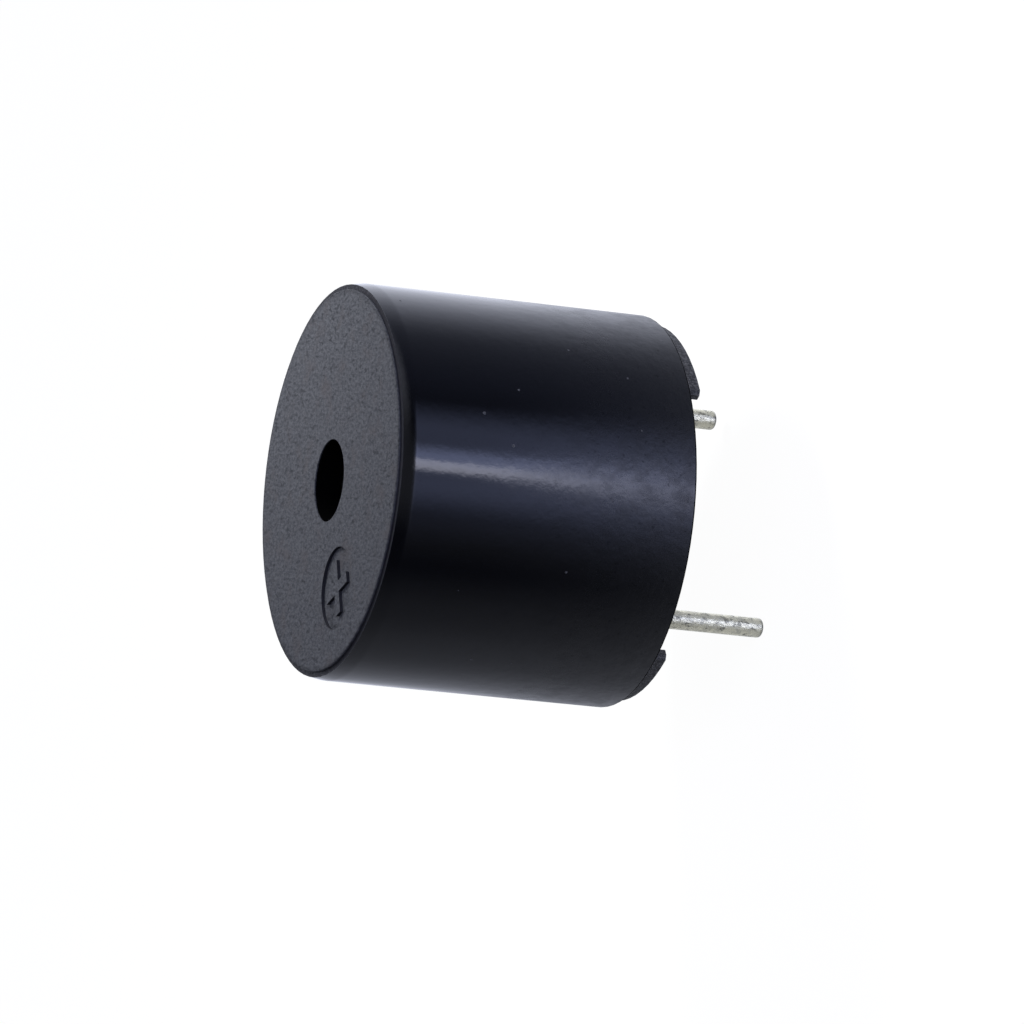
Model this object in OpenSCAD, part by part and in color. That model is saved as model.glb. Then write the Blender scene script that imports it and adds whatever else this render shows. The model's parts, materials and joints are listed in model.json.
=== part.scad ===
// Board-mounted magnetic buzzer with its own drive circuit, in millimetres.
// Z = 0 is the plane of the circuit board it is soldered to. The sound hole faces +Z, the two pins
// stand on the X axis with the positive one at +X, and every height is stacked up from Z = 0.

/* [Housing] */
// Diameter of the barrel
barrel_d = 12; // [11.9:0.1:14]
// Height of the barrel from its rim to the sound face
barrel_h = 9.45; // [9:0.05:12]
// Thickness of the barrel wall
wall = 0.55; // [0.45:0.01:0.6]
// Thickness of the roof round the sound hole
roof_t = 0.8; // [0.5:0.05:1.2]
// Diameter of the sound hole
port_d = 2.5; // [1.5:0.1:3]
// Width of the step in the bore that keeps the diaphragm's frame down
shoulder_w = 0.35; // [0.3:0.01:0.5]
// Rounding of the rim's outer edge
rim_round = 0.06; // [0.05:0.01:0.2]

/* [Edge of the face] */
// Height of the raised face above the ledge round it
face_step = 0.08; // [0.05:0.01:0.2]
// Rounding of the raised face's outer edge
face_round = 0.04; // [0.01:0.01:0.04]
// Width of the ledge round the face
ledge_w = 0.15; // [0.05:0.01:0.3]
// Height of the tapered band below the ledge
taper_h = 0.42; // [0.2:0.01:0.8]
// Depth of the tapered band at the ledge
taper_in = 0.07; // [0.02:0.01:0.15]

/* [Polarity mark] */
// Diameter of the sunken disc that holds the plus
mark_d = 2.5; // [2.1:0.1:3]
// Distance of the mark from the axis
mark_offset = 3.55; // [3:0.05:4]
// Angle of the mark from the positive pin
mark_angle = -9; // [-20:1:20]
// Depth of the sunken disc
mark_depth = 0.1; // [0.05:0.01:0.3]
// Length of each bar of the plus
plus_l = 1.7; // [1.2:0.1:2]
// Width of each bar of the plus
plus_w = 0.34; // [0.2:0.02:0.5]

/* [Feet] */
// Height of the feet, which hold the rim off the board
foot_h = 0.45; // [0.3:0.05:1]
// Inset of the feet from the barrel's side
foot_inset = 0.24; // [0.2:0.01:0.35]
// Angle that each foot spans
foot_span = 92; // [60:1:120]
// Angle of the first foot's middle from the positive pin
foot_angle = -39; // [-90:1:90]
// Bevel of the outer corners at the ends of each foot
foot_bevel = 0.12; // [0.05:0.01:0.15]

/* [Pins] */
// Distance of the pins' axes from the bore, which leaves them 7.6 apart
pin_inset = 1.65; // [1.6:0.05:2.2]
// Diameter of the pins
pin_d = 0.6; // [0.5:0.02:0.7]
// Length of the positive pin below the feet
positive_l = 3.65; // [2:0.05:8]
// Length of the negative pin below the feet
negative_l = 3.25; // [2:0.05:8]
// Rounding of the pins' tips
tip_round = 0.12; // [0.05:0.01:0.2]
// Narrowing of the pins' diameter towards their upper ends, inside the part
pin_taper = 0.08; // [0.04:0.01:0.16]
// Length of the pins that stands above the circuit board
pin_stub = 0.6; // [0.5:0.05:0.8]
// Clearance round the pins in the circuit board
pin_clear = 0.05; // [0.03:0.01:0.1]

/* [Sealing resin] */
// Depth of the resin's surface inside the rim
resin_recess = 0.3; // [0.25:0.05:0.8]
// Thickness of the resin below the circuit board
resin_t = 0.5; // [0.3:0.05:1]
// Height that the resin creeps along the wall
creep_h = 0.15; // [0.05:0.01:0.2]
// Width of the creep at the wall
creep_w = 0.35; // [0.1:0.05:0.6]
// Depth that the round part of each pin reaches into the resin
pin_sink = 0.05; // [0.03:0.01:0.1]

/* [Circuit board] */
// Thickness of the circuit board
board_t = 0.8; // [0.6:0.1:1]
// Clearance round the circuit board
board_clear = 0.05; // [0.03:0.01:0.15]
// Thickness of the copper
copper_t = 0.05; // [0.04:0.01:0.1]
// Width of the copper tracks
track_w = 0.4; // [0.3:0.02:0.5]
// Diameter of the copper land round each pin
pin_land_d = 1.2; // [1.1:0.05:1.3]
// Diameter of the copper pads under the wire ends
wire_pad_d = 0.66; // [0.5:0.02:0.7]
// Side of the square copper pads under the legs and the caps
chip_pad_w = 0.7; // [0.6:0.02:0.76]
// Distance from the axis at which the collector's track passes the base's
lane_x = 2.2; // [2:0.05:2.4]
// Place along Y where that track enters its lane
lane_start_y = 2.6; // [2.2:0.05:2.8]
// Place along Y where that track leaves its lane
lane_end_y = -0.3; // [-0.5:0.05:0.2]
// Straight run of that track before the drive winding's pad
pad_run = 0.5; // [0.3:0.05:0.6]
// Distance inside the positive pin at which the supply track turns
supply_turn_in = 0.5; // [0.3:0.05:0.7]
// Place along Y where the supply track turns
supply_turn_y = -1.05; // [-1.5:0.05:-0.8]

/* [Support frame] */
// Clearance between the frame and the bore
frame_clear = 0.05; // [0.03:0.01:0.1]
// Thickness of the frame's wall round the magnet
frame_wall = 0.6; // [0.5:0.02:0.65]
// Width of the ledge that carries the yoke plate
yoke_ledge = 0.3; // [0.2:0.01:0.35]
// Height of the space for parts between the circuit board and the yoke plate
parts_space = 1.35; // [1.3:0.05:1.6]
// Width of the lip round the diaphragm
lip_w = 0.25; // [0.15:0.01:0.3]
// Height of the lip above the diaphragm's seat
lip_h = 0.3; // [0.2:0.02:0.5]

/* [Magnetic circuit] */
// Thickness of the yoke plate
yoke_t = 0.6; // [0.4:0.05:0.8]
// Clearance round the yoke plate in the frame
yoke_clear = 0.05; // [0.03:0.01:0.1]
// Diameter of the pole core
core_d = 3; // [2.6:0.1:3.2]
// Height of the pole core above the yoke plate
core_h = 3.05; // [2.8:0.05:3.3]
// Diameter of the core's neck in the yoke plate
neck_d = 1.8; // [1.2:0.1:2.2]
// Diameter of the riveted head below the yoke plate
rivet_d = 2.4; // [2.3:0.1:3]
// Thickness of the riveted head
rivet_h = 0.12; // [0.08:0.01:0.2]
// Radial width of the ring magnet
magnet_w = 1.35; // [1:0.05:1.5]
// Height of the ring magnet
magnet_h = 2.4; // [1.5:0.05:2.9]
// Clearance round the ring magnet in the frame
magnet_clear = 0.05; // [0.03:0.01:0.1]

/* [Coil] */
// Clearance between the pole core and the coil
coil_clear = 0.05; // [0.03:0.01:0.1]
// Build-up of the drive winding
drive_build = 0.65; // [0.5:0.05:0.9]
// Build-up of the feedback winding
feedback_build = 0.3; // [0.2:0.05:0.45]
// Height of the core's end above the drive winding
coil_below_pole = 0.35; // [0.2:0.05:0.6]
// Height of the drive winding above the feedback winding
tap_step = 0.5; // [0.3:0.05:0.8]
// Diameter of the winding wire's ends
wire_d = 0.12; // [0.08:0.01:0.16]
// Gap between the coil and the wire ends beside it
wire_gap = 0.14; // [0.12:0.01:0.17]
// Radius of the bend where a wire end turns down
wire_bend = 0.16; // [0.12:0.01:0.17]
// Direction of the middle wire end from the positive pin
wire_angle = 270; // [260:1:280]
// Angle between two neighbouring wire ends
wire_spread = 20; // [16:1:24]
// Room round the wire ends in the yoke plate's slot
slot_room = 0.14; // [0.08:0.01:0.16]

/* [Diaphragm] */
// Gap between the pole core and the diaphragm
air_gap = 0.3; // [0.15:0.05:0.5]
// Thickness of the diaphragm
diaphragm_t = 0.08; // [0.05:0.01:0.12]
// Clearance round the diaphragm in the lip
diaphragm_clear = 0.05; // [0.03:0.01:0.1]
// Diameter of the armature disc
armature_d = 4.4; // [3.5:0.1:6]
// Thickness of the armature disc
armature_t = 0.35; // [0.2:0.05:0.6]

/* [Transistor] */
// Length of the transistor's body
chip_l = 2.9; // [2.7:0.1:3]
// Width of the transistor's body
chip_w = 1.3; // [1.2:0.1:1.4]
// Height of the transistor's body
chip_h = 0.9; // [0.8:0.05:1]
// Gap below the transistor's body
chip_lift = 0.05; // [0.02:0.01:0.1]
// Narrowing of the body from its middle to its top and bottom
chip_draft = 0.08; // [0.04:0.01:0.12]
// Distance of the transistor from the axis
chip_y = 2.2; // [2.1:0.05:2.3]
// Distance between the base leg and the emitter leg
leg_pitch = 1.9; // [1.7:0.1:2]
// Width of each leg
leg_w = 0.4; // [0.3:0.02:0.45]
// Thickness of each leg
leg_t = 0.12; // [0.08:0.01:0.15]
// Reach of each leg beyond the body
leg_reach = 0.55; // [0.45:0.05:0.65]
// Length of each leg's foot on its pad
leg_foot = 0.25; // [0.2:0.01:0.3]

/* [Resistor] */
// Length of the resistor over its caps
chip_resistor_l = 1.6; // [1.4:0.1:1.8]
// Width of the resistor over its caps
chip_resistor_w = 0.8; // [0.7:0.05:0.9]
// Height of the resistor over its caps
chip_resistor_h = 0.45; // [0.35:0.01:0.6]
// Length of each end cap
cap_l = 0.3; // [0.2:0.02:0.4]
// Thickness of the metal of each end cap
cap_t = 0.04; // [0.03:0.01:0.06]
// Place of the resistor's middle along X
resistor_x = -0.7; // [-0.9:0.05:-0.6]
// Place of the resistor's middle along Y
resistor_y = -1; // [-1.1:0.05:-0.8]

/* [Solder] */
// Diameter of the solder round each pin
pin_solder_d = 1.1; // [1:0.05:1.15]
// Height of the solder round each pin
pin_solder_h = 0.4; // [0.3:0.05:0.45]
// Diameter of the solder round each wire end
wire_solder_d = 0.5; // [0.4:0.02:0.6]
// Height of the solder round each wire end
wire_solder_h = 0.2; // [0.1:0.02:0.3]
// Length of the solder at each leg and cap
toe_l = 0.14; // [0.08:0.01:0.18]
// Height of the solder at each leg
toe_h = 0.1; // [0.06:0.01:0.12]
// Height of the solder at each cap
cap_toe_h = 0.25; // [0.15:0.01:0.35]

/* [Hidden] */
$fn = 96;
bite = 0.05;           // how far a cutting shape passes the face that it cuts
joint_fn = 32;         // sides of the small round shapes

// radii, from the barrel inwards
barrel_r = barrel_d / 2;
ledge_r = barrel_r - taper_in;
face_r = ledge_r - ledge_w;
bore_r = barrel_r - wall;
foot_r = barrel_r - foot_inset;
chamber_r = bore_r - shoulder_w;
board_r = bore_r - board_clear;
frame_r = bore_r - frame_clear;
lip_r = frame_r - lip_w;
pocket_r = frame_r - frame_wall;
skirt_r = pocket_r - yoke_ledge;
diaphragm_r = lip_r - diaphragm_clear;
magnet_r = pocket_r - magnet_clear;
core_r = core_d / 2;
drive_in_r = core_r + coil_clear;
drive_r = drive_in_r + drive_build;
coil_r = drive_r + feedback_build;
pin_r = pin_d / 2;
pin_top_r = pin_r - pin_taper / 2;
pin_x = bore_r - pin_inset;
wire_r = wire_d / 2;
wire_at_r = coil_r + wire_gap + wire_r;

// heights, from the feet upwards
rim_z = foot_h;
resin_z = rim_z + resin_recess;
shank_z = resin_z + pin_sink;
board_z = resin_z + resin_t;
board_top = board_z + board_t;
pin_top = board_top + pin_stub;
copper_top = board_top + copper_t;
yoke_z = board_top + parts_space;
yoke_top = yoke_z + yoke_t;
core_top = yoke_top + core_h;
drive_h = core_h - coil_below_pole;
feedback_h = drive_h - tap_step;
seat_z = core_top + air_gap;
lip_z = seat_z + lip_h;
diaphragm_top = seat_z + diaphragm_t;
face_z = rim_z + barrel_h;
roof_z = face_z - roof_t;

// copper: the middle of each pad
function polar(r, a) = [r * cos(a), r * sin(a)];
supply_pad = polar(wire_at_r, wire_angle + wire_spread);
drive_pad = polar(wire_at_r, wire_angle);
feedback_pad = polar(wire_at_r, wire_angle - wire_spread);
foot_mid = leg_reach - leg_foot / 2;
base_pad = [leg_pitch / 2, chip_y - chip_w / 2 - foot_mid];
emitter_pad = [-leg_pitch / 2, chip_y - chip_w / 2 - foot_mid];
collector_pad = [0, chip_y + chip_w / 2 + foot_mid];
cap_mid = chip_resistor_l / 2 - cap_l / 2;
input_pad = [resistor_x, resistor_y + cap_mid];
output_pad = [resistor_x, resistor_y - cap_mid];

// ---- shared shapes ----

module ring(outer, inner, low, high) {
    translate([0, 0, low])
    difference() {
        cylinder(r = outer, h = high - low);
        translate([0, 0, -bite])
            cylinder(r = inner, h = high - low + 2 * bite);
    }
}

// A straight strip of copper with round ends, flat on the plane.
module strip(from, to) {
    run = to - from;
    translate(from)
    rotate(atan2(run[1], run[0]))
    translate([0, -track_w / 2])
        square([norm(run), track_w]);
    translate(from) circle(d = track_w, $fn = joint_fn);
    translate(to) circle(d = track_w, $fn = joint_fn);
}

module wire_pad(middle) {
    translate(middle) circle(d = wire_pad_d, $fn = joint_fn);
}

module chip_pad(middle) {
    translate(middle) square(chip_pad_w, center = true);
}

// A track runs through its corners, with its pads as children.
module track(corners) {
    color("#b8733a")
    translate([0, 0, board_top])
    linear_extrude(copper_t)
    union() {
        for (i = [0 : len(corners) - 2]) strip(corners[i], corners[i + 1]);
        children();
    }
}

// A track that starts at a pin has a land there with the pin's hole through it.
module pin_track(x, corners) {
    difference() {
        union() {
            track(corners) children();
            color("#b8733a")
            translate([x, 0, board_top])
                cylinder(d = pin_land_d, h = copper_t);
        }
        translate([x, 0, board_top - bite])
            cylinder(r = pin_r + pin_clear, h = copper_t + 2 * bite);
    }
}

// The tapered upper part of a pin, which also shapes the holes it fills.
module shank() {
    translate([0, 0, shank_z])
        cylinder(r1 = pin_r, r2 = pin_top_r, h = pin_top - shank_z);
}

// A wedge of solder on the plane Y = 0, rising towards -Y, centred across X.
module toe(width, height) {
    color("#b9bcc0")
    translate([-width / 2, 0, copper_top])
    rotate([90, 0, 90])
    linear_extrude(width)
        polygon([[0, 0], [toe_l, 0], [0, height]]);
}

// ---- housing ----

module barrel() {
    rim_arc = [for (a = [-90 : 22.5 : 0])
        [barrel_r - rim_round + rim_round * cos(a), rim_z + rim_round + rim_round * sin(a)]];
    face_arc = [for (a = [0 : 30 : 90])
        [face_r - face_round + face_round * cos(a), face_z - face_round + face_round * sin(a)]];
    rotate_extrude()
    polygon(concat(
        [[0, rim_z]],
        rim_arc,
        [
            [barrel_r, face_z - face_step - taper_h],
            [ledge_r, face_z - face_step],
            [face_r, face_z - face_step]
        ],
        face_arc,
        [[0, face_z]]
    ));
}

// The bore, which narrows to the sound chamber above the shoulder.
module cavity() {
    rotate_extrude()
    polygon([
        [0, -bite],
        [bore_r, -bite],
        [bore_r, lip_z],
        [chamber_r, lip_z],
        [chamber_r, roof_z],
        [0, roof_z]
    ]);
}

// A foot starts inside the bore, which then cuts its inner face. The barrel fills the bevels
// above the rim.
module foot(angle) {
    rotate([0, 0, angle])
    difference() {
        rotate([0, 0, -foot_span / 2])
        rotate_extrude(angle = foot_span)
        translate([chamber_r, 0])
            square([foot_r - chamber_r, foot_h + bite]);
        for (end = [-1, 1])
            rotate([0, 0, end * foot_span / 2])
            translate([foot_r, 0, foot_h / 2])
            rotate([0, 0, 45])
                cube([foot_bevel * sqrt(2), foot_bevel * sqrt(2), foot_h + 4 * bite], center = true);
    }
}

// The sunken disc round the plus, which stays level with the face.
module mark_cut() {
    rotate([0, 0, mark_angle])
    translate([mark_offset, 0, face_z - mark_depth])
    difference() {
        cylinder(d = mark_d, h = mark_depth + bite);
        for (turn = [0, 90])
            rotate([0, 0, turn])
            translate([-plus_l / 2, -plus_w / 2, -bite])
                cube([plus_l, plus_w, mark_depth + 3 * bite]);
    }
}

module housing() {
    color("#1b1c20")
    difference() {
        union() {
            barrel();
            foot(foot_angle);
            foot(foot_angle + 180);
        }
        cavity();
        translate([0, 0, roof_z - bite])
            cylinder(d = port_d, h = roof_t + 2 * bite);
        mark_cut();
    }
}

// ---- diaphragm and its frame ----

module diaphragm() {
    color("#c9ccce")
    translate([0, 0, seat_z])
        cylinder(r = diaphragm_r, h = diaphragm_t);
}

module armature_disc() {
    color("#8f9194")
    translate([0, 0, diaphragm_top])
        cylinder(d = armature_d, h = armature_t);
}

module support_frame() {
    color("#e6e2d6")
    rotate_extrude()
    polygon([
        [skirt_r, board_top],
        [frame_r, board_top],
        [frame_r, lip_z],
        [lip_r, lip_z],
        [lip_r, seat_z],
        [pocket_r, seat_z],
        [pocket_r, yoke_z],
        [skirt_r, yoke_z]
    ]);
}

// ---- magnetic circuit ----

module ring_magnet() {
    color("#3c3d40")
        ring(magnet_r, magnet_r - magnet_w, yoke_top, yoke_top + magnet_h);
}

// The slot that lets the three wire ends through the yoke plate.
module wire_slot() {
    half = wire_r + slot_room;
    reach = wire_spread + asin(half / wire_at_r);
    translate([0, 0, yoke_z - bite])
    rotate([0, 0, wire_angle - reach])
    rotate_extrude(angle = 2 * reach)
    translate([wire_at_r - half, 0])
        square([2 * half, yoke_t + 2 * bite]);
}

module yoke_plate() {
    color("#a7a9ab")
    difference() {
        translate([0, 0, yoke_z])
            cylinder(r = pocket_r - yoke_clear, h = yoke_t);
        translate([0, 0, yoke_z - bite])
            cylinder(d = neck_d, h = yoke_t + 2 * bite);
        wire_slot();
    }
}

module pole_core() {
    color("#9a9c9e")
    union() {
        translate([0, 0, yoke_top])
            cylinder(r = core_r, h = core_h);
        translate([0, 0, yoke_z - bite])
            cylinder(d = neck_d, h = yoke_t + 2 * bite);
        translate([0, 0, yoke_z - rivet_h])
            cylinder(d = rivet_d, h = rivet_h);
    }
}

// ---- coil ----

module drive_winding() {
    color("#b06a2c")
        ring(drive_r, drive_in_r, yoke_top, yoke_top + drive_h);
}

module feedback_winding() {
    color("#c07a36")
        ring(coil_r, drive_r, yoke_top, yoke_top + feedback_h);
}

// A wire end: out of a winding at height z, round a bend and down to its pad.
module wire(angle, from_r, z) {
    elbow_r = wire_at_r - wire_bend;
    elbow_z = z - wire_bend;
    color("#c8843f")
    rotate([0, 0, angle])
    union() {
        translate([from_r, 0, z])
        rotate([0, 90, 0])
            cylinder(r = wire_r, h = elbow_r - from_r, $fn = joint_fn);
        translate([elbow_r, 0, elbow_z])
        rotate([90, 0, 0])
        rotate_extrude(angle = 90)
        translate([wire_bend, 0])
            circle(r = wire_r, $fn = joint_fn);
        translate([wire_at_r, 0, copper_top])
            cylinder(r = wire_r, h = elbow_z - copper_top, $fn = joint_fn);
    }
}

// The drive winding's ends leave above the feedback winding, the others from its side.
tap_z = yoke_top + drive_h - tap_step / 2;
side_z = yoke_top + feedback_h / 2;

module supply_wire() {
    wire(wire_angle + wire_spread, drive_r, tap_z);
}

module drive_wire() {
    wire(wire_angle, drive_r, tap_z);
}

module feedback_wire() {
    wire(wire_angle - wire_spread, coil_r, side_z);
}

module wire_solder(pad) {
    color("#b9bcc0")
    translate([pad[0], pad[1], copper_top])
    difference() {
        cylinder(d1 = wire_solder_d, d2 = 2 * wire_d, h = wire_solder_h, $fn = joint_fn);
        translate([0, 0, -bite])
            cylinder(r = wire_r, h = wire_solder_h + 2 * bite, $fn = joint_fn);
    }
}

module supply_wire_solder() {
    wire_solder(supply_pad);
}

module drive_wire_solder() {
    wire_solder(drive_pad);
}

module feedback_wire_solder() {
    wire_solder(feedback_pad);
}

// ---- circuit board ----

module circuit_board() {
    color("#7d8a45")
    difference() {
        translate([0, 0, board_z])
            cylinder(r = board_r, h = board_t);
        for (side = [-1, 1])
            translate([side * pin_x, 0, board_z - bite])
                cylinder(r = pin_r + pin_clear, h = board_t + 2 * bite, $fn = joint_fn);
    }
}

module supply_track() {
    corner = [pin_x - supply_turn_in, supply_turn_y];
    pin_track(pin_x, [[pin_x, 0], corner, supply_pad])
        wire_pad(supply_pad);
}

module ground_track() {
    corner = [-pin_x + emitter_pad[1], emitter_pad[1]];
    pin_track(-pin_x, [[-pin_x, 0], corner, emitter_pad])
        chip_pad(emitter_pad);
}

module collector_track() {
    lane_start = [lane_x, lane_start_y];
    lane_end = [lane_x, lane_end_y];
    before_pad = drive_pad + [0, pad_run];
    track([collector_pad, lane_start, lane_end, before_pad, drive_pad]) {
        chip_pad(collector_pad);
        wire_pad(drive_pad);
    }
}

module base_track() {
    track([base_pad, [base_pad[0], input_pad[1]], input_pad]) {
        chip_pad(base_pad);
        chip_pad(input_pad);
    }
}

module feedback_track() {
    track([output_pad, feedback_pad]) {
        chip_pad(output_pad);
        wire_pad(feedback_pad);
    }
}

// ---- transistor ----

chip_z = copper_top + chip_lift;
leg_z = chip_z + chip_h / 2 - leg_t / 2;

module transistor_body() {
    half = chip_w / 2;
    top = half - chip_draft;
    color("#26272b")
    translate([-chip_l / 2, chip_y, 0])
    rotate([90, 0, 90])
    linear_extrude(chip_l)
    polygon([
        [-top, chip_z],
        [top, chip_z],
        [half, leg_z],
        [half, leg_z + leg_t],
        [top, chip_z + chip_h],
        [-top, chip_z + chip_h],
        [-half, leg_z + leg_t],
        [-half, leg_z]
    ]);
}

// A bent leg that leaves the body's side and stands on its pad; out is +1 or -1 along Y.
module leg(x, out) {
    knee = leg_reach - leg_foot - leg_t;
    color("#c3c6c9")
    translate([x, chip_y + out * chip_w / 2, 0])
    mirror([0, out > 0 ? 0 : 1, 0])
    translate([-leg_w / 2, 0, 0])
    rotate([90, 0, 90])
    linear_extrude(leg_w)
    polygon([
        [0, leg_z],
        [knee, leg_z],
        [knee, copper_top],
        [leg_reach, copper_top],
        [leg_reach, copper_top + leg_t],
        [knee + leg_t, copper_top + leg_t],
        [knee + leg_t, leg_z + leg_t],
        [0, leg_z + leg_t]
    ]);
}

module base_leg() {
    leg(leg_pitch / 2, -1);
}

module emitter_leg() {
    leg(-leg_pitch / 2, -1);
}

module collector_leg() {
    leg(0, 1);
}

// Solder against the end of a leg.
module leg_solder(x, out) {
    translate([x, chip_y + out * (chip_w / 2 + leg_reach), 0])
    mirror([0, out > 0 ? 0 : 1, 0])
        toe(leg_w, toe_h);
}

module base_solder() {
    leg_solder(leg_pitch / 2, -1);
}

module emitter_solder() {
    leg_solder(-leg_pitch / 2, -1);
}

module collector_solder() {
    leg_solder(0, 1);
}

// ---- resistor ----

module ceramic() {
    translate([-chip_resistor_w / 2 + cap_t, -chip_resistor_l / 2 + cap_t, cap_t])
        cube([
            chip_resistor_w - 2 * cap_t,
            chip_resistor_l - 2 * cap_t,
            chip_resistor_h - 2 * cap_t
        ]);
}

module at_resistor() {
    translate([resistor_x, resistor_y, copper_top]) children();
}

module resistor_body() {
    color("#2c2d31") at_resistor() ceramic();
}

// A metal cap wrapped round one end of the ceramic; end is +1 or -1 along Y.
module cap(end) {
    color("#c3c6c9")
    at_resistor()
    difference() {
        translate([0, end * cap_mid, 0])
        translate([-chip_resistor_w / 2, -cap_l / 2, 0])
            cube([chip_resistor_w, cap_l, chip_resistor_h]);
        ceramic();
    }
}

module input_cap() {
    cap(1);
}

module output_cap() {
    cap(-1);
}

module cap_solder(end) {
    translate([resistor_x, resistor_y + end * chip_resistor_l / 2, 0])
    mirror([0, end > 0 ? 0 : 1, 0])
        toe(track_w, cap_toe_h);
}

module input_cap_solder() {
    cap_solder(1);
}

module output_cap_solder() {
    cap_solder(-1);
}

// ---- pins and seal ----

// A round pin with a rounded tip, slightly tapered from the resin to its upper end.
module pin(x, length) {
    tip_arc = [for (a = [-90 : 22.5 : 0])
        [pin_r - tip_round + tip_round * cos(a), -length + tip_round + tip_round * sin(a)]];
    color("#c4c6c8")
    translate([x, 0, 0])
    rotate_extrude()
    polygon(concat(
        [[0, -length]],
        tip_arc,
        [[pin_r, shank_z], [pin_top_r, pin_top], [0, pin_top]]
    ));
}

module positive_pin() {
    pin(pin_x, positive_l);
}

module negative_pin() {
    pin(-pin_x, negative_l);
}

module pin_solder(x) {
    color("#b9bcc0")
    translate([x, 0, 0])
    difference() {
        translate([0, 0, copper_top])
            cylinder(d1 = pin_solder_d, d2 = pin_d, h = pin_solder_h);
        shank();
    }
}

module positive_pin_solder() {
    pin_solder(pin_x);
}

module negative_pin_solder() {
    pin_solder(-pin_x);
}

module sealing_resin() {
    creep = [for (t = [0 : 0.25 : 1])
        [bore_r - creep_w + creep_w * t, resin_z - creep_h * t * t]];
    color("#17181a")
    difference() {
        rotate_extrude()
            polygon(concat([[0, resin_z]], creep, [[bore_r, board_z], [0, board_z]]));
        for (side = [-1, 1])
            translate([side * pin_x, 0, 0]) {
                translate([0, 0, rim_z])
                    cylinder(r = pin_r, h = shank_z - rim_z);
                shank();
            }
    }
}

// ---- the part ----

housing();
diaphragm();
armature_disc();
support_frame();
ring_magnet();
yoke_plate();
pole_core();
drive_winding();
feedback_winding();
supply_wire();
drive_wire();
feedback_wire();
supply_wire_solder();
drive_wire_solder();
feedback_wire_solder();
circuit_board();
supply_track();
ground_track();
collector_track();
base_track();
feedback_track();
transistor_body();
base_leg();
emitter_leg();
collector_leg();
base_solder();
emitter_solder();
collector_solder();
resistor_body();
input_cap();
output_cap();
input_cap_solder();
output_cap_solder();
positive_pin();
negative_pin();
positive_pin_solder();
negative_pin_solder();
sealing_resin();
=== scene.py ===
"""A board-mounted magnetic buzzer: its finishes, its light and its camera."""

import json
import math

import bpy
from mathutils import Matrix, Vector


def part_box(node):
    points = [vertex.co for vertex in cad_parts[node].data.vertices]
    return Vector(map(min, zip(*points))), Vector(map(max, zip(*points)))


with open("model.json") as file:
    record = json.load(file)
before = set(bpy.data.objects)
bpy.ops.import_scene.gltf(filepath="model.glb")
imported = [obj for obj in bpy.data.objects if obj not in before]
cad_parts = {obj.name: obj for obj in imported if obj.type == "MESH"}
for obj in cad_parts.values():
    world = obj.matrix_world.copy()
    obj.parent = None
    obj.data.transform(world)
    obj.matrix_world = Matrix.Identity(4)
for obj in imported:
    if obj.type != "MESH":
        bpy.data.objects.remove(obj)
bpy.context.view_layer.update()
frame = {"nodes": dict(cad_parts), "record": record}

MM = 0.001

# ---- places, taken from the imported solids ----

housing_low, housing_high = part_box("housing")
pin_low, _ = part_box("positive_pin")
short_pin_low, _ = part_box("negative_pin")
floor_z = pin_low.z
mounts = {mount["name"]: mount for mount in frame["record"]["mounts"]}

# the housing's surfaces, in millimetres of the part's frame
FACE_STEP = 0.08         # the face stands this far above its ledge
LEDGE_WIDTH = 0.15
TAPER_HEIGHT = 0.42      # of the tapered band under the ledge
TAPER_INSET = 0.07       # how far the band leans in by its top
FOOT_HEIGHT = 0.45       # of the feet under the barrel's rim
BARREL_R = housing_high.x / MM
FACE_Z = housing_high.z / MM
LEDGE_Z = FACE_Z - FACE_STEP
TAPER_Z = LEDGE_Z - TAPER_HEIGHT
FACE_R = BARREL_R - TAPER_INSET - LEDGE_WIDTH
RIM_Z = housing_low.z / MM + FOOT_HEIGHT
PORT_R = mounts["sound_port"]["dims"]["r_mm"]

# ---- the view ----

VIEW_AZIMUTH = 54.3      # of the camera from +X, in degrees
VIEW_ELEVATION = 21.24   # of the camera above the board's plane
VIEW_ROLL = 83.99        # so that the barrel lies on its side
VIEW_DISTANCE = 248.75 * MM
VIEW_LENS = 288.84
AIM = Vector((0.299, -0.215, 3.938)) * MM


def direction(azimuth, elevation):
    """The unit vector at an azimuth from +X and an elevation, in degrees."""
    a, e = math.radians(azimuth), math.radians(elevation)
    return Vector((math.cos(a) * math.cos(e), math.sin(a) * math.cos(e), math.sin(e)))


def place_camera():
    """A long lens, rolled about the line of sight, that looks at the aim."""
    back = direction(VIEW_AZIMUTH, VIEW_ELEVATION)
    level_up = (Vector((0, 0, 1)) - back * back.z).normalized()
    level_right = level_up.cross(back)
    roll = math.radians(VIEW_ROLL)
    up = level_up * math.cos(roll) + level_right * math.sin(roll)
    right = up.cross(back)
    camera = bpy.data.objects.new("camera", bpy.data.cameras.new("camera"))
    bpy.context.scene.collection.objects.link(camera)
    camera.matrix_world = Matrix((
        (right.x, up.x, back.x, 0),
        (right.y, up.y, back.y, 0),
        (right.z, up.z, back.z, 0),
        (0, 0, 0, 1),
    ))
    camera.location = AIM + back * VIEW_DISTANCE
    camera.data.sensor_width = 36
    camera.data.lens = VIEW_LENS
    camera.data.clip_start = 10 * MM
    camera.data.clip_end = 10
    bpy.context.scene.camera = camera


# ---- node helpers ----

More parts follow.
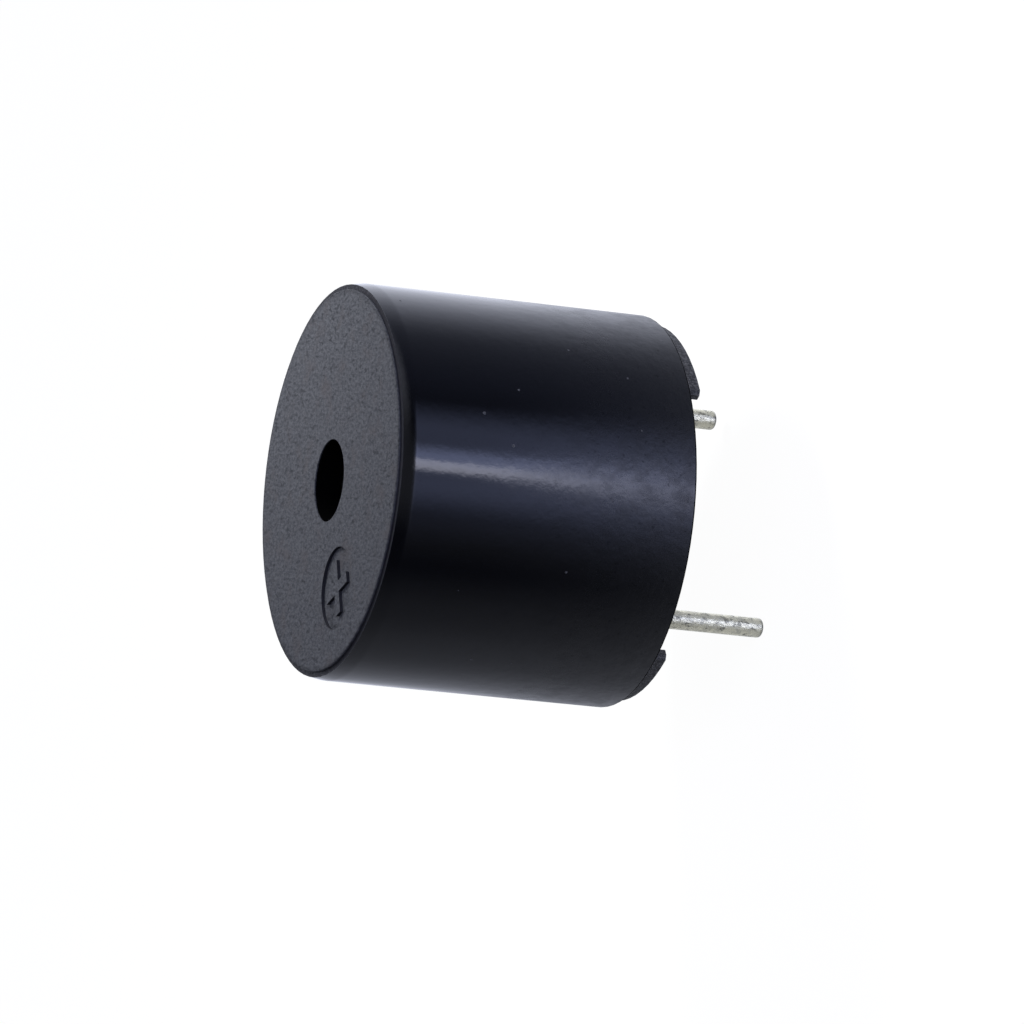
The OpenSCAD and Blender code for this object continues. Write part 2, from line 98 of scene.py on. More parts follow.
class Nodes:
    """Adds nodes to a tree and joins their sockets."""

    def __init__(self, tree):
        self.tree = tree

    def add(self, kind, **settings):
        node = self.tree.nodes.new(kind)
        for name, value in settings.items():
            setattr(node, name, value)
        return node

    def join(self, output, socket):
        self.tree.links.new(output, socket)

    def feed(self, socket, value):
        """Sets a socket to a number or an opaque colour, or joins it to another node's output."""
        if isinstance(value, bpy.types.NodeSocket):
            self.join(value, socket)
        elif socket.type == "RGBA":
            socket.default_value = (*value, 1)
        else:
            socket.default_value = value

    def math(self, operation, *values, clamp=False):
        node = self.add("ShaderNodeMath", operation=operation, use_clamp=clamp)
        for socket, value in zip(node.inputs, values):
            self.feed(socket, value)
        return node.outputs[0]

    def times(self, first, second):
        return self.math("MULTIPLY", first, second)

    def plus(self, first, second):
        return self.math("ADD", first, second)

    def greater(self, first, second):
        return self.math("MAXIMUM", first, second)

    def flip(self, mask):
        """1 where the mask is 0, and 0 where it is 1."""
        return self.math("SUBTRACT", 1.0, mask)

    def radius(self, x, y):
        """The distance from the upright axis."""
        return self.math("SQRT", self.plus(self.times(x, x), self.times(y, y)))

    def smooth(self, value, low, high):
        """0 below low and 1 above high, with a soft step between them."""
        node = self.add("ShaderNodeMapRange", interpolation_type="SMOOTHSTEP")
        for name, number in (("Value", value), ("From Min", low), ("From Max", high)):
            self.feed(node.inputs[name], number)
        return node.outputs["Result"]

    def mix(self, amount, first, second):
        node = self.add("ShaderNodeMix", data_type="RGBA")
        self.feed(node.inputs["Factor"], amount)
        self.feed(node.inputs[6], first)
        self.feed(node.inputs[7], second)
        return node.outputs[2]

    def blend(self, amount, first, second):
        node = self.add("ShaderNodeMix", data_type="FLOAT")
        self.feed(node.inputs["Factor"], amount)
        self.feed(node.inputs["A"], first)
        self.feed(node.inputs["B"], second)
        return node.outputs["Result"]

    def mix_vector(self, amount, first, second):
        node = self.add("ShaderNodeMix", data_type="VECTOR")
        self.feed(node.inputs["Factor"], amount)
        self.feed(node.inputs[4], first)
        self.feed(node.inputs[5], second)
        return node.outputs[1]

    def mix_shaders(self, amount, first, second):
        node = self.add("ShaderNodeMixShader")
        for socket, output in zip(node.inputs, (amount, first, second)):
            self.join(output, socket)
        return node.outputs[0]

    def vector(self, x, y, z):
        node = self.add("ShaderNodeCombineXYZ")
        for socket, value in zip(node.inputs, (x, y, z)):
            self.feed(socket, value)
        return node.outputs[0]

    def scaled(self, vector, factor):
        node = self.add("ShaderNodeVectorMath", operation="SCALE")
        self.feed(node.inputs[0], vector)
        self.feed(node.inputs["Scale"], factor)
        return node.outputs["Vector"]

    def noise(self, where, scale, detail=2.0, roughness=0.5, distortion=0.0):
        node = self.add("ShaderNodeTexNoise")
        self.feed(node.inputs["Vector"], where)
        node.inputs["Scale"].default_value = scale
        node.inputs["Detail"].default_value = detail
        node.inputs["Roughness"].default_value = roughness
        node.inputs["Distortion"].default_value = distortion
        return node.outputs["Fac"]

    def cells(self, where, scale, feature="F1"):
        node = self.add("ShaderNodeTexVoronoi", feature=feature)
        self.feed(node.inputs["Vector"], where)
        node.inputs["Scale"].default_value = scale
        return node.outputs["Distance"]

    def stretch(self, where, x, y, z):
        node = self.add("ShaderNodeMapping")
        self.feed(node.inputs["Vector"], where)
        node.inputs["Scale"].default_value = (x, y, z)
        return node.outputs["Vector"]

    def draw_out(self, where, azimuth, length):
        """The place, for a pattern whose features are drawn out along an azimuth by a length."""
        node = self.add("ShaderNodeMapping", vector_type="TEXTURE")
        self.feed(node.inputs["Vector"], where)
        node.inputs["Rotation"].default_value = (0, 0, math.radians(azimuth))
        node.inputs["Scale"].default_value = (length, 1, 1)
        return node.outputs["Vector"]

    def bump(self, height, depth, normal=None):
        """A relief of a depth in millimetres where the height goes from 0 to 1."""
        node = self.add("ShaderNodeBump")
        node.inputs["Strength"].default_value = 1.0
        node.inputs["Distance"].default_value = depth * MM
        self.feed(node.inputs["Height"], height)
        if normal is not None:
            self.feed(node.inputs["Normal"], normal)
        return node.outputs["Normal"]

    def millimetres(self):
        """The place on the piece, in millimetres of the part's own frame."""
        return self.scaled(self.add("ShaderNodeTexCoord").outputs["Object"], 1 / MM)

    def split(self, vector):
        node = self.add("ShaderNodeSeparateXYZ")
        self.join(vector, node.inputs[0])
        return node.outputs["X"], node.outputs["Y"], node.outputs["Z"]

    def between(self, value, low, high, edge):
        """1 between low and high, 0 outside, with edges of a width."""
        return self.times(
            self.smooth(value, low - edge, low), self.flip(self.smooth(value, high, high + edge)))


def new_material(name):
    material = bpy.data.materials.new(name)
    material.use_nodes = True
    nodes = Nodes(material.node_tree)
    shader = material.node_tree.nodes["Principled BSDF"]
    return material, nodes, shader


def new_group(name, inputs, outputs):
    """An empty node group with named sockets: {name: (kind, default)} in, {name: kind} out."""
    tree = bpy.data.node_groups.new(name, "ShaderNodeTree")
    for socket, (kind, default) in inputs.items():
        made = tree.interface.new_socket(socket, in_out="INPUT", socket_type="NodeSocket" + kind)
        if default is not None:
            made.default_value = default
    for socket, kind in outputs.items():
        tree.interface.new_socket(socket, in_out="OUTPUT", socket_type="NodeSocket" + kind)
    nodes = Nodes(tree)
    return tree, nodes, nodes.add("NodeGroupInput").outputs, nodes.add("NodeGroupOutput").inputs


def use_group(nodes, tree, **values):
    node = nodes.add("ShaderNodeGroup", node_tree=tree)
    for name, value in values.items():
        nodes.feed(node.inputs[name], value)
    return node.outputs


# ---- shared effects ----

def make_grain():
    """Fine spark-eroded grain: a height and a mask of its peaks."""
    tree, nodes, given, made = new_group(
        "grain",
        {"Place": ("Vector", None), "Scale": ("Float", 9.0)},
        {"Height": "Float", "Peaks": "Float"},
    )
    place = nodes.scaled(given["Place"], given["Scale"])
    pits = nodes.cells(place, 1.0, "SMOOTH_F1")
    fine = nodes.noise(place, 1.7, detail=3.0, roughness=0.6)
    height = nodes.plus(nodes.times(pits, 0.6), nodes.times(fine, 0.5))
    nodes.join(height, made["Height"])
    nodes.join(nodes.smooth(height, 0.45, 0.75), made["Peaks"])
    return tree


def make_dust():
    """A mask of dust specks, scattered over a flat or unrolled surface.

    Size is in cells, and Share is the share of the cells that hold a speck."""
    tree, nodes, given, made = new_group(
        "dust",
        {"Place": ("Vector", None), "Scale": ("Float", 1.0), "Size": ("Float", 0.05),
         "Share": ("Float", 0.1)},
        {"Mask": "Float"},
    )
    place = nodes.scaled(given["Place"], given["Scale"])
    ragged = nodes.noise(place, 14.0, detail=3.0)
    cell = nodes.add("ShaderNodeTexVoronoi", voronoi_dimensions="2D")
    nodes.feed(cell.inputs["Vector"], place)
    cell.inputs["Scale"].default_value = 1.0
    chosen, spread, _ = nodes.split(cell.outputs["Color"])
    size = nodes.times(given["Size"], nodes.plus(0.4, spread))
    wobble = nodes.times(nodes.math("SUBTRACT", ragged, 0.5), given["Size"])
    near = nodes.plus(cell.outputs["Distance"], wobble)
    held = nodes.math("LESS_THAN", chosen, given["Share"])
    speck = nodes.smooth(nodes.math("SUBTRACT", size, near), 0.0, 0.02)
    nodes.join(nodes.times(held, speck), made["Mask"])
    return tree


def make_tarnish():
    """Blotches and fine streaks on drawn or plated metal, as two masks."""
    tree, nodes, given, made = new_group(
        "tarnish",
        {"Place": ("Vector", None), "Scale": ("Float", 1.0)},
        {"Blotches": "Float", "Streaks": "Float"},
    )
    place = nodes.scaled(given["Place"], given["Scale"])
    blotches = nodes.noise(place, 1.9, detail=4.0, roughness=0.65, distortion=0.6)
    nodes.join(nodes.smooth(blotches, 0.42, 0.68), made["Blotches"])
    drawn = nodes.stretch(place, 9.0, 9.0, 0.8)
    nodes.join(nodes.noise(drawn, 1.0, detail=3.0), made["Streaks"])
    return tree


GRAIN = make_grain()
DUST = make_dust()
TARNISH = make_tarnish()


# ---- finishes ----

# the tones of black plastic, and painted shade at the face's edge, on the step under it, on the
# marks' walls and in the port. Where there are two, a pattern runs between them.
POLISHED_BLACK = (0.0008, 0.0009, 0.0014), (0.0014, 0.0015, 0.0024)
ERODED_GREY = (0.055, 0.0575, 0.065), (0.103, 0.1065, 0.118)
SPECK_BLACK = (0.024, 0.0255, 0.03)
STAIN_GREY = (0.084, 0.077, 0.08)
# painted shade along the face's rounded edge
FACE_EDGE_SHADE = (0.018, 0.0185, 0.022)
FOOT_GREY = (0.012, 0.0115, 0.011), (0.125, 0.12, 0.113)
# painted shade on the step under the face, its riser and ledge
LEDGE_SHADE = (0.029, 0.029, 0.034)
# painted shade on the upright walls of the moulded marks
MARK_WALL_SHADE = (0.028, 0.028, 0.032)
# painted shade down the sound port
PORT_SHADE = (0.002, 0.002, 0.002)
DUST_GREY = (0.085, 0.083, 0.085)

GRAIN_AZIMUTH = 54.0     # the way the face's grain is drawn out
GRAIN_LENGTH = 1.9       # of its features, for a width of 1

# in millimetres
SKIN = 0.12              # the barrel's side and band lie within this of its radius
MARK_GAP = 0.2           # the moulded marks keep this far from the port and the face's edge
MARK_DEPTH = 0.25        # the marks lie within this of the face
CLEAR = 0.01             # a mask starts or ends this far off its surface


def find_surfaces(nodes, radius, height, normal):
    """A mask for each surface of the housing, by its name."""
    outer = nodes.smooth(radius, BARREL_R - SKIN - 2 * CLEAR, BARREL_R - SKIN)
    below_ledge = LEDGE_Z - 0.006
    polished = nodes.times(outer, nodes.between(height, RIM_Z - CLEAR, below_ledge, 0.002))
    upright = nodes.flip(nodes.smooth(nodes.math("ABSOLUTE", nodes.split(normal)[2]), 0.3, 0.7))
    near_marks = nodes.times(
        nodes.between(radius, PORT_R + MARK_GAP, FACE_R - MARK_GAP, 0.05),
        nodes.smooth(height, FACE_Z - MARK_DEPTH - 0.05, FACE_Z - MARK_DEPTH))
    return {
        "side": nodes.times(outer, nodes.between(height, RIM_Z + 0.07, TAPER_Z, 0.004)),
        "band": nodes.times(outer, nodes.between(height, TAPER_Z, below_ledge, 0.002)),
        "polished": polished,
        "matte": nodes.flip(polished),
        "ledge": nodes.times(
            nodes.smooth(radius, FACE_R - 2 * CLEAR, FACE_R - CLEAR),
            nodes.between(height, below_ledge, FACE_Z - 0.04, 0.004)),
        "rim": nodes.times(outer, nodes.between(height, RIM_Z - CLEAR, RIM_Z + 0.05, CLEAR)),
        "feet": nodes.flip(nodes.smooth(height, RIM_Z - 2 * CLEAR, RIM_Z - CLEAR)),
        "port": nodes.times(
            nodes.flip(nodes.smooth(radius, PORT_R + CLEAR, PORT_R + 2 * CLEAR)),
            nodes.flip(nodes.smooth(height, FACE_Z - 0.06, FACE_Z - CLEAR))),
        "mark walls": nodes.times(upright, near_marks),
        "face edge": nodes.times(
            nodes.smooth(radius, FACE_R - 0.18, FACE_R - 2 * CLEAR),
            nodes.smooth(height, LEDGE_Z + CLEAR, LEDGE_Z + 2 * CLEAR)),
    }


def scatter_dust(nodes, place, x, y, height, matte):
    """A mask of the dust on the housing. The barrel's lies on its unrolled side."""
    unrolled = nodes.vector(nodes.times(nodes.math("ARCTAN2", y, x), BARREL_R), height, 0.0)
    side_dust = use_group(nodes, DUST, Place=unrolled, Scale=1.1, Size=0.045, Share=0.05)["Mask"]
    face_dust = use_group(nodes, DUST, Place=place, Scale=0.8, Size=0.035, Share=0.04)["Mask"]
    return nodes.blend(matte, side_dust, face_dust)


def turn_normal(nodes, x, y, radius, height):
    """The normal of the barrel and its tapered band as turned surfaces, softly bent between."""
    up_band = nodes.math(
        "DIVIDE", nodes.math("SUBTRACT", height, TAPER_Z), LEDGE_Z - TAPER_Z, clamp=True)
    slope = nodes.times(TAPER_INSET / TAPER_HEIGHT, nodes.plus(0.6, nodes.times(up_band, 0.8)))
    bend = nodes.smooth(height, TAPER_Z - 0.09, TAPER_Z + 0.06)
    lean = nodes.times(radius, nodes.times(slope, bend))
    turned = nodes.add(
        "ShaderNodeVectorTransform",
        vector_type="NORMAL", convert_from="OBJECT", convert_to="WORLD")
    nodes.join(nodes.vector(x, y, lean), turned.inputs[0])
    outward = nodes.add("ShaderNodeVectorMath", operation="NORMALIZE")
    nodes.join(turned.outputs[0], outward.inputs[0])
    return outward.outputs["Vector"]


def finish_housing():
    """Black plastic: a polished barrel between a spark-eroded face and feet."""
    material, nodes, shader = new_material("moulded_black")
    place = nodes.millimetres()
    x, y, height = nodes.split(place)
    radius = nodes.radius(x, y)
    own_normal = nodes.add("ShaderNodeNewGeometry").outputs["Normal"]
    on = find_surfaces(nodes, radius, height, own_normal)
    towards_rim = nodes.smooth(height, TAPER_Z, RIM_Z)

    # the patterns
    grained = nodes.draw_out(place, GRAIN_AZIMUTH, GRAIN_LENGTH)
    grain = use_group(nodes, GRAIN, Place=grained, Scale=8.5)
    sparkle = nodes.smooth(nodes.noise(grained, 11.0, detail=3.0, roughness=0.7), 0.36, 0.64)
    specks = nodes.smooth(nodes.noise(grained, 7.5, detail=2.0), 0.58, 0.68)
    cloud = nodes.noise(place, 0.7, detail=3.0)
    stain = nodes.smooth(nodes.noise(place, 0.9, detail=5.0, roughness=0.65), 0.5, 0.7)
    peel = nodes.noise(place, 2.6, detail=3.0, roughness=0.6)
    fine = nodes.noise(place, 13.0, detail=3.0, roughness=0.7)
    mottle = nodes.smooth(nodes.noise(place, 1.7, detail=5.0, roughness=0.65), 0.42, 0.64)
    worn = nodes.times(mottle, towards_rim)
    pits = nodes.times(nodes.blend(towards_rim, 0.3, 1.0), nodes.smooth(
        nodes.noise(place, 6.5, detail=3.0, roughness=0.6), 0.6, 0.7))
    dust = scatter_dust(nodes, place, x, y, height, on["matte"])

    # the colour
    face = nodes.mix(sparkle, *ERODED_GREY)
    face = nodes.mix(nodes.times(specks, 0.66), face, SPECK_BLACK)
    face = nodes.mix(nodes.times(stain, 0.55), face, STAIN_GREY)
    # painted shade along the face's rounded edge
    face = nodes.mix(nodes.times(on["face edge"], 0.36), face, FACE_EDGE_SHADE)
    feet = nodes.mix(nodes.smooth(fine, 0.4, 0.66), *FOOT_GREY)
    barrel = nodes.mix(cloud, *POLISHED_BLACK)
    colour = nodes.mix(on["matte"], barrel, nodes.mix(on["feet"], face, feet))
    # painted shade on the step under the face
    colour = nodes.mix(on["ledge"], colour, LEDGE_SHADE)
    # painted shade on the marks' upright walls
    colour = nodes.mix(on["mark walls"], colour, MARK_WALL_SHADE)
    # painted shade in the sound port
    colour = nodes.mix(on["port"], colour, PORT_SHADE)
    nodes.join(nodes.mix(dust, colour, DUST_GREY), shader.inputs["Base Color"])

    # the gloss, duller towards the rim, and lost in recesses and at edges
    gloss = nodes.plus(nodes.blend(towards_rim, 0.07, 0.31), nodes.times(worn, 0.06))
    dull = nodes.blend(on["ledge"], nodes.blend(grain["Peaks"], 0.66, 0.54), 0.35)
    rough = nodes.blend(on["matte"], gloss, dull)
    nodes.join(nodes.greater(rough, nodes.times(dust, 0.8)), shader.inputs["Roughness"])
    edges = nodes.greater(
        nodes.times(on["mark walls"], 0.65),
        nodes.times(nodes.greater(on["face edge"], on["ledge"]), 0.5))
    shadowed = nodes.greater(nodes.greater(on["rim"], on["port"]), edges)
    lost = nodes.times(on["polished"], nodes.plus(nodes.times(worn, 0.14), nodes.times(pits, 0.3)))
    kept = nodes.math("SUBTRACT", 1.0, nodes.greater(shadowed, lost), clamp=True)
    level = nodes.times(nodes.blend(towards_rim, 0.5, 0.69), kept)
    nodes.join(level, shader.inputs["Specular IOR Level"])

    # the relief
    turned = turn_normal(nodes, x, y, radius, height)
    normal = nodes.mix_vector(nodes.greater(on["side"], on["band"]), own_normal, turned)
    waves = nodes.plus(
        nodes.times(peel, nodes.blend(towards_rim, 0.25, 0.9)), nodes.times(fine, 0.03))
    relief = nodes.blend(on["matte"], waves, nodes.times(grain["Height"], 1.7))
    nodes.join(nodes.bump(relief, 0.012, normal=normal), shader.inputs["Normal"])
    return material


BRIGHT_TIN = (0.81, 0.77, 0.57), (1.0, 0.955, 0.715)
DULL_TIN = (0.5, 0.49, 0.4)
DENTED_TIN = (0.17, 0.165, 0.135)
CUT_END = (0.12, 0.12, 0.115)


def finish_pins():
    """Dull bright tin over wire: grey blotches, dents, fine drawn lines and a dark cut end."""
    material, nodes, shader = new_material("tinned_wire")
    place = nodes.millimetres()
    x, _, height = nodes.split(place)
    tip = nodes.blend(nodes.math("GREATER_THAN", x, 0.0), short_pin_low.z / MM, pin_low.z / MM)
    cut = nodes.flip(nodes.smooth(nodes.math("SUBTRACT", height, tip), 0.03, 0.16))
    drawn = nodes.stretch(place, 1.0, 1.0, 0.55)
    tarnish = use_group(nodes, TARNISH, Place=place, Scale=2.6)
    dimples = nodes.noise(drawn, 8.0, detail=5.0, roughness=0.68)
    dents = nodes.smooth(dimples, 0.54, 0.62)
    tin = nodes.mix(tarnish["Streaks"], *BRIGHT_TIN)
    tin = nodes.mix(nodes.times(tarnish["Blotches"], 0.6), tin, DULL_TIN)
    tin = nodes.mix(nodes.times(dents, 0.75), tin, DENTED_TIN)
    tin = nodes.mix(nodes.times(cut, nodes.blend(dimples, 0.3, 1.0)), tin, CUT_END)
    nodes.join(tin, shader.inputs["Base Color"])
    shader.inputs["Metallic"].default_value = 0.9
    nodes.join(nodes.blend(tarnish["Blotches"], 0.22, 0.36), shader.inputs["Roughness"])
    relief = nodes.plus(nodes.times(tarnish["Streaks"], 0.15), dimples)
    nodes.join(nodes.bump(relief, 0.024), shader.inputs["Normal"])
    return material


def finish_metal(name, dark, light, rough, grain_scale=3.0):
    """Plain plated or rolled metal with faint blotches."""
    material, nodes, shader = new_material(name)
    place = nodes.millimetres()
    tarnish = use_group(nodes, TARNISH, Place=place, Scale=grain_scale)
    nodes.join(nodes.mix(tarnish["Blotches"], light, dark), shader.inputs["Base Color"])
    shader.inputs["Metallic"].default_value = 1.0
    nodes.join(
        nodes.blend(tarnish["Streaks"], rough - 0.07, rough + 0.07), shader.inputs["Roughness"])
    nodes.join(nodes.bump(tarnish["Streaks"], 0.004), shader.inputs["Normal"])
    return material


def finish_plastic(name, dark, light, rough, grain_scale=8.0):
    """Moulded or cast matter with a fine grain."""
    material, nodes, shader = new_material(name)
    place = nodes.millimetres()
    grain = use_group(nodes, GRAIN, Place=place, Scale=grain_scale)
    nodes.join(nodes.mix(grain["Peaks"], dark, light), shader.inputs["Base Color"])
    nodes.join(nodes.blend(grain["Peaks"], rough, rough + 0.1), shader.inputs["Roughness"])
    nodes.join(nodes.bump(grain["Height"], 0.006), shader.inputs["Normal"])
    return material


def finish_resin():
    """Potting resin as it set: glossy, gently wavy, with a few tiny pits."""
    material, nodes, shader = new_material("potting_resin")
    place = nodes.millimetres()
    wave = nodes.noise(place, 0.5, detail=2.0)
    pits = nodes.smooth(nodes.math("SUBTRACT", 0.09, nodes.cells(place, 1.3)), 0.0, 0.05)
    dust = use_group(nodes, DUST, Place=place, Scale=0.8, Size=0.05, Share=0.2)["Mask"]
    black = nodes.mix(wave, (0.006, 0.006, 0.007), (0.011, 0.011, 0.012))
    nodes.join(nodes.mix(dust, black, (0.2, 0.19, 0.18)), shader.inputs["Base Color"])
    nodes.join(nodes.blend(wave, 0.1, 0.22), shader.inputs["Roughness"])
    relief = nodes.math("SUBTRACT", wave, nodes.times(pits, 0.3))
    nodes.join(nodes.bump(relief, 0.06), shader.inputs["Normal"])
    return material


def finish_board():
    """Bare glass-epoxy laminate with its weave."""
    material, nodes, shader = new_material("glass_epoxy")
    place = nodes.millimetres()
    turned = nodes.add("ShaderNodeMapping")
    nodes.feed(turned.inputs["Vector"], place)
    turned.inputs["Rotation"].default_value = (0, 0, math.radians(12))
    weave = []
    for axis in ("X", "Y"):
        wave = nodes.add("ShaderNodeTexWave", wave_type="BANDS", bands_direction=axis)
        nodes.feed(wave.inputs["Vector"], turned.outputs["Vector"])
        wave.inputs["Scale"].default_value = 0.7
        weave.append(wave.outputs["Fac"])
    threads = nodes.times(*weave)
    laminate = nodes.mix(threads, (0.20, 0.23, 0.075), (0.34, 0.36, 0.15))
    nodes.join(laminate, shader.inputs["Base Color"])
    nodes.join(nodes.blend(threads, 0.42, 0.3), shader.inputs["Roughness"])
    nodes.join(nodes.bump(threads, 0.01), shader.inputs["Normal"])
    return material


def finish_winding():
    """Turns of enamelled wire laid side by side round the core, with painted shade between the
    turns.
    """
    material, nodes, shader = new_material("enamelled_copper")
    place = nodes.millimetres()
    turns = nodes.add("ShaderNodeTexWave", wave_type="BANDS", bands_direction="Z")
    nodes.feed(turns.inputs["Vector"], place)
    turns.inputs["Scale"].default_value = 2.6
    uneven = nodes.noise(place, 2.0)
    # dark between the turns and light on their crowns: painted shade between the turns of wire
    enamel_with_painted_shade = nodes.mix(turns.outputs["Fac"], (0.22, 0.07, 0.02), (0.66, 0.27, 0.09))
    nodes.join(enamel_with_painted_shade, shader.inputs["Base Color"])
    shader.inputs["Metallic"].default_value = 0.85
    shader.inputs["Coat Weight"].default_value = 0.5
    nodes.join(nodes.blend(uneven, 0.2, 0.34), shader.inputs["Roughness"])
    nodes.join(nodes.bump(turns.outputs["Fac"], 0.03), shader.inputs["Normal"])
    return material


def finish_everything():
    """Gives each material slot of the record its finish, and each piece the finish of its slot."""
    finishes = {
        "housing_plastic": finish_housing(),
        "pin_metal": finish_pins(),
        "resin_epoxy": finish_resin(),
        "board_laminate": finish_board(),
        "track_copper": finish_metal(
            "etched_copper", (0.45, 0.19, 0.1), (0.72, 0.38, 0.24), 0.36),
        "solder": finish_metal("solder", (0.5, 0.5, 0.5), (0.72, 0.72, 0.71), 0.24, 2.0),
        "frame_plastic": finish_plastic(
            "natural_plastic", (0.6, 0.57, 0.49), (0.72, 0.7, 0.62), 0.5),
        "magnet_ferrite": finish_plastic(
            "ground_ferrite", (0.03, 0.03, 0.033), (0.075, 0.075, 0.08), 0.6, 5.0),
        "yoke_steel": finish_metal(
            "nickel_plate", (0.42, 0.41, 0.38), (0.6, 0.58, 0.54), 0.3, 1.2),
        "core_iron": finish_metal(
            "turned_iron", (0.38, 0.38, 0.38), (0.55, 0.55, 0.54), 0.34, 1.5),
        "diaphragm_steel": finish_metal(
            "rolled_foil", (0.5, 0.5, 0.5), (0.68, 0.68, 0.68), 0.26, 0.8),
        "armature_alloy": finish_metal(
            "punched_alloy", (0.3, 0.3, 0.3), (0.46, 0.46, 0.46), 0.38, 1.4),
        "winding_copper": finish_winding(),
        "chip_epoxy": finish_plastic(
            "chip_epoxy", (0.012, 0.012, 0.013), (0.022, 0.022, 0.023), 0.55, 12.0),
        "leg_tin": finish_metal("plated_tin", (0.55, 0.55, 0.54), (0.74, 0.74, 0.72), 0.3, 4.0),
        "resistor_ceramic": finish_plastic(
            "resistor_glaze", (0.02, 0.02, 0.024), (0.03, 0.03, 0.034), 0.3, 10.0),
    }
    for part in frame["record"]["subparts"]:
        materials = frame["nodes"][part["node"]].data.materials
        materials.clear()
        materials.append(finishes[part["material_slot"]])


# ---- light and floor ----

def softbox(nodes, way, azimuth, width, soft, elevation, rise, fade):
    """A mask over directions: a box of light with soft sides, its sizes in degrees.

    way holds the azimuth and the elevation of the direction."""
    away = nodes.math("WRAP", nodes.math("SUBTRACT", way["azimuth"], azimuth), 180.0, -180.0)
    across = nodes.smooth(nodes.math("ABSOLUTE", away), width - soft, width + soft)
    lift = nodes.math("ABSOLUTE", nodes.math("SUBTRACT", way["elevation"], elevation))
    along = nodes.smooth(lift, rise - fade, rise + fade)
    return nodes.times(nodes.flip(across), nodes.flip(along))


def add_light(nodes, so_far, mask, strength, tint):
    """Adds a box of light of a strength and a tint to the light so far."""
    total = nodes.add("ShaderNodeVectorMath", operation="ADD")
    nodes.feed(total.inputs[0], so_far)
    nodes.feed(total.inputs[1], nodes.scaled([strength * part for part in tint], mask))
    return total.outputs["Vector"]


COOL = (0.94, 0.98, 1.14)
BLUE = (0.78, 0.9, 1.5)
WARM = (1.0, 0.98, 1.04)

# Each box: its azimuth from the camera's, half width, softness, elevation, half height, fade,
# strength and tint. The pairs of front boxes leave a gap round the horizon.
SOFTBOXES = {
    "key tube, low": (14.5, 2.9, 1.5, -34, 25, 4, 3.0, WARM),
    "key tube, high": (14.5, 2.9, 1.5, 34, 25, 4, 3.0, WARM),
    "key strip, low": (18.5, 5.5, 4, -34, 25, 4, 1.6, BLUE),
    "key strip, high": (18.5, 5.5, 4, 34, 25, 4, 1.6, BLUE),
    "front cloth, low": (20, 25, 10, -34, 25, 4, 0.66, BLUE),
    "front cloth, high": (20, 25, 10, 34, 25, 4, 0.66, BLUE),
    "front fill": (-5, 15, 14, -34, 25, 4, 0.2, BLUE),
    "lower front fill": (-25, 13, 10, -34, 25, 4, 0.055, COOL),
    "front glow at the horizon": (6, 20, 14, 0, 14, 6, 0.17, COOL),
    "side card at the horizon": (76, 34, 30, 9, 11, 4, 0.62, COOL),
    "upper side card": (95, 42, 20, -20, 34, 8, 0.09, BLUE),
    "lower side card": (-82, 26, 16, -20, 34, 8, 0.12, COOL),
    "white backdrop": (180, 62, 60, -20, 32, 8, 0.5, COOL),
    "lit side of the backdrop": (152, 30, 26, -20, 32, 8, 0.76, COOL),
}
ROOM_GLOW = (0.03, 0.033, 0.044)


def light_studio():
    """A dim studio of soft boxes, painted on the world. The camera sees it as plain white."""
    world = bpy.data.worlds.new("studio")
    world.use_nodes = True
    bpy.context.scene.world = world
    nodes = Nodes(world.node_tree)
    world.node_tree.nodes.clear()
    x, y, z = nodes.split(nodes.add("ShaderNodeTexCoord").outputs["Generated"])
    in_degrees = 180 / math.pi
    way = {
        "azimuth": nodes.times(nodes.math("ARCTAN2", y, x), in_degrees),
        "elevation": nodes.times(nodes.math("ARCSINE", z), in_degrees),
    }
    light = nodes.vector(*ROOM_GLOW)
    for azimuth, width, soft, elevation, rise, fade, strength, tint in SOFTBOXES.values():
        mask = softbox(nodes, way, VIEW_AZIMUTH + azimuth, width, soft, elevation, rise, fade)
        light = add_light(nodes, light, mask, strength, tint)
    studio = nodes.add("ShaderNodeBackground")
    nodes.join(light, studio.inputs["Color"])
    backdrop = nodes.add("ShaderNodeBackground")
    backdrop.inputs["Color"].default_value = (1, 1, 1, 1)
    path = nodes.add("ShaderNodeLightPath").outputs
    in_view = nodes.greater(path["Is Camera Ray"], path["Is Transmission Ray"])
    seen = nodes.mix_shaders(in_view, studio.outputs[0], backdrop.outputs[0])
    nodes.join(seen, nodes.add("ShaderNodeOutputWorld").inputs["Surface"])


def hang_lamp(name, azimuth, elevation, distance, size, power, mirrored=True):
    """A square area lamp that faces the sound face. Glossy surfaces show it only if mirrored."""
    lamp = bpy.data.objects.new(name, bpy.data.lights.new(name, "AREA"))
    bpy.context.scene.collection.objects.link(lamp)
    away = direction(azimuth, elevation)
    lamp.location = Vector((0, 0, housing_high.z)) + away * distance
    lamp.rotation_mode = "QUATERNION"
    lamp.rotation_quaternion = away.to_track_quat("Z", "Y")
    lamp.data.size = size
    lamp.data.energy = power
    lamp.visible_glossy = mirrored


FLOOR_HALF = 300 * MM
FLOOR_PAINT = (0.86, 0.86, 0.88, 1)
FLOOR_GLOW = 1.11        # its strength
GLOW_SHARE = 0.87        # how much of the floor's white is glow, where it's seen or mirrored
SHEET_R = 12.0, 15.0     # the mirrored sheet fades out between these, in millimetres
SHEET_SHARE = 0.35       # how much of that sheet glossy surfaces show


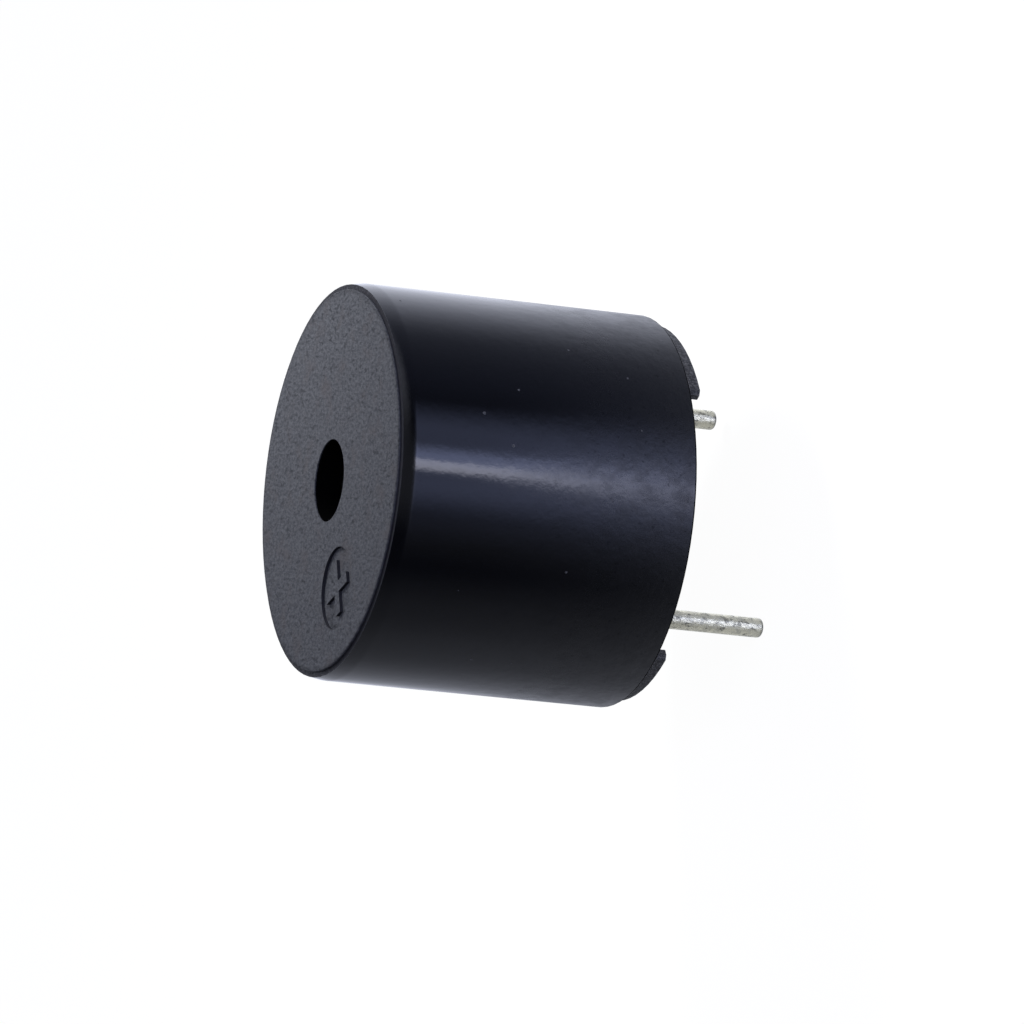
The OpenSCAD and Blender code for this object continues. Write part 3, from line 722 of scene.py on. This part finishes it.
def paint_floor():
    """Pale paint. The floor is clear from below, and glossy surfaces show it only in part, as a
    sheet right under the pins, with the studio past it."""
    material = bpy.data.materials.new("pale_floor")
    material.use_nodes = True
    nodes = Nodes(material.node_tree)
    nodes.tree.nodes.clear()
    x, y, _ = nodes.split(nodes.millimetres())
    sheet = nodes.flip(nodes.smooth(nodes.radius(x, y), *SHEET_R))
    path = nodes.add("ShaderNodeLightPath").outputs
    paint = nodes.add("ShaderNodeBsdfDiffuse")
    paint.inputs["Color"].default_value = FLOOR_PAINT
    glow = nodes.add("ShaderNodeEmission")
    glow_colour = nodes.mix(path["Is Camera Ray"], (0.93, 0.965, 1.08), (1, 1, 1))
    nodes.join(glow_colour, glow.inputs["Color"])
    glow.inputs["Strength"].default_value = FLOOR_GLOW
    glowing = nodes.times(
        nodes.greater(path["Is Camera Ray"], path["Is Glossy Ray"]), GLOW_SHARE)
    white = nodes.mix_shaders(glowing, paint.outputs[0], glow.outputs[0])
    clear = nodes.add("ShaderNodeBsdfTransparent")
    through = nodes.times(
        nodes.flip(nodes.times(sheet, SHEET_SHARE)),
        nodes.greater(path["Is Glossy Ray"], path["Is Shadow Ray"]))
    from_below = nodes.add("ShaderNodeNewGeometry").outputs["Backfacing"]
    seen = nodes.mix_shaders(
        nodes.greater(through, from_below), white, clear.outputs[0])
    nodes.join(seen, nodes.add("ShaderNodeOutputMaterial").inputs["Surface"])
    return material


def lay_floor():
    """A square floor at the pins' tips."""
    mesh = bpy.data.meshes.new("floor")
    corners = [
        (x * FLOOR_HALF, y * FLOOR_HALF, floor_z) for x, y in ((-1, -1), (1, -1), (1, 1), (-1, 1))]
    mesh.from_pydata(corners, [], [(0, 1, 2, 3)])
    floor = bpy.data.objects.new("floor", mesh)
    bpy.context.scene.collection.objects.link(floor)
    mesh.materials.append(paint_floor())


place_camera()
finish_everything()
light_studio()
hang_lamp(
    "near_lamp", azimuth=VIEW_AZIMUTH + 116, elevation=40, distance=26 * MM, size=12 * MM,
    power=0.0076, mirrored=False)
hang_lamp(
    "overhead_lamp", azimuth=VIEW_AZIMUTH + 170, elevation=72, distance=120 * MM, size=80 * MM,
    power=0.02)
lay_floor()
bpy.context.scene.view_settings.view_transform = "Standard"
